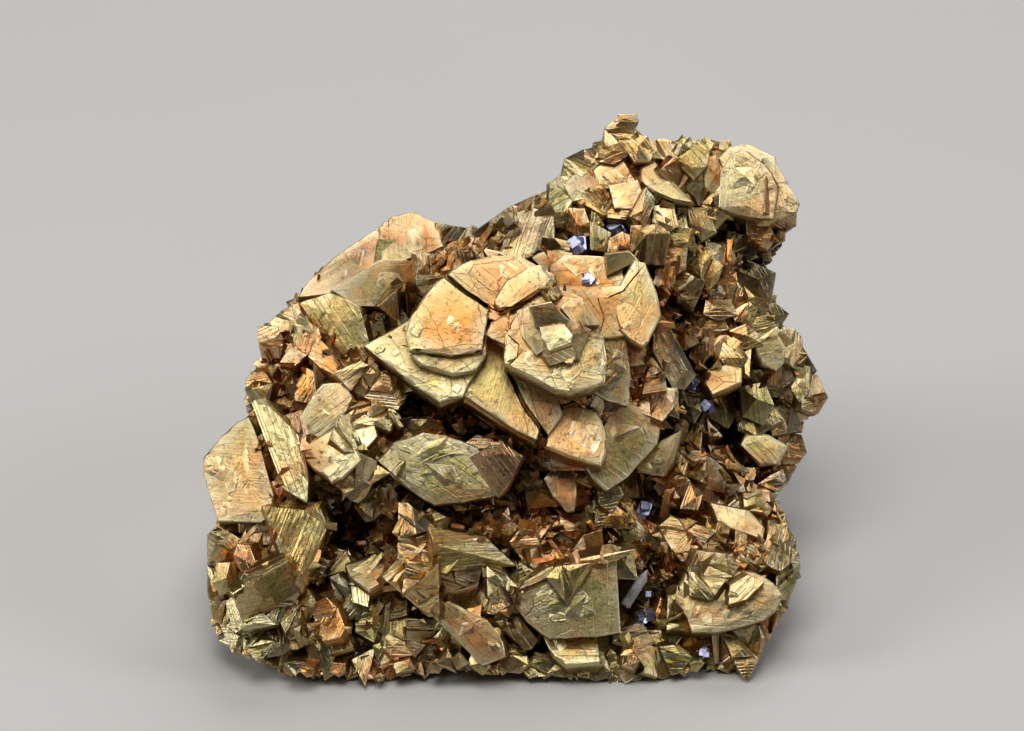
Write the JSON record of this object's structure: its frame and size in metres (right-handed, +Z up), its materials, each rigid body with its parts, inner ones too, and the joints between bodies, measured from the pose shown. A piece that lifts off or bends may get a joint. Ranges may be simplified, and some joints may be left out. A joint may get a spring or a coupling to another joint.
{
  "type": "chalcopyrite mineral specimen",
  "caption": "Free-standing cluster of brassy striated chalcopyrite crystals with a flattened foot, set with small grey galena crystals and a quartz prism.",
  "frame": {"origin": "the middle of the flat resting face under the specimen", "axes": "+Z up, +X to the right along the specimen's widest way, +Y away from the crystal face that the specimen shows"},
  "size_m": [0.0888, 0.0655, 0.0631],
  "materials": {
    "chalcopyrite": "satin",
    "galena": "polished",
    "quartz": "polished"
  },
  "bodies": {
    "root": {"chalcopyrite": "chalcopyrite", "quartz_crystal": "quartz", "galena_star": "galena", "galena_lilac": "galena", "galena_upper": "galena", "galena_chain_left": "galena", "galena_chain_right": "galena", "galena_middle": "galena", "galena_lower": "galena", "galena_lower_bright": "galena", "galena_foot": "galena"}
  },
  "joints": []
}
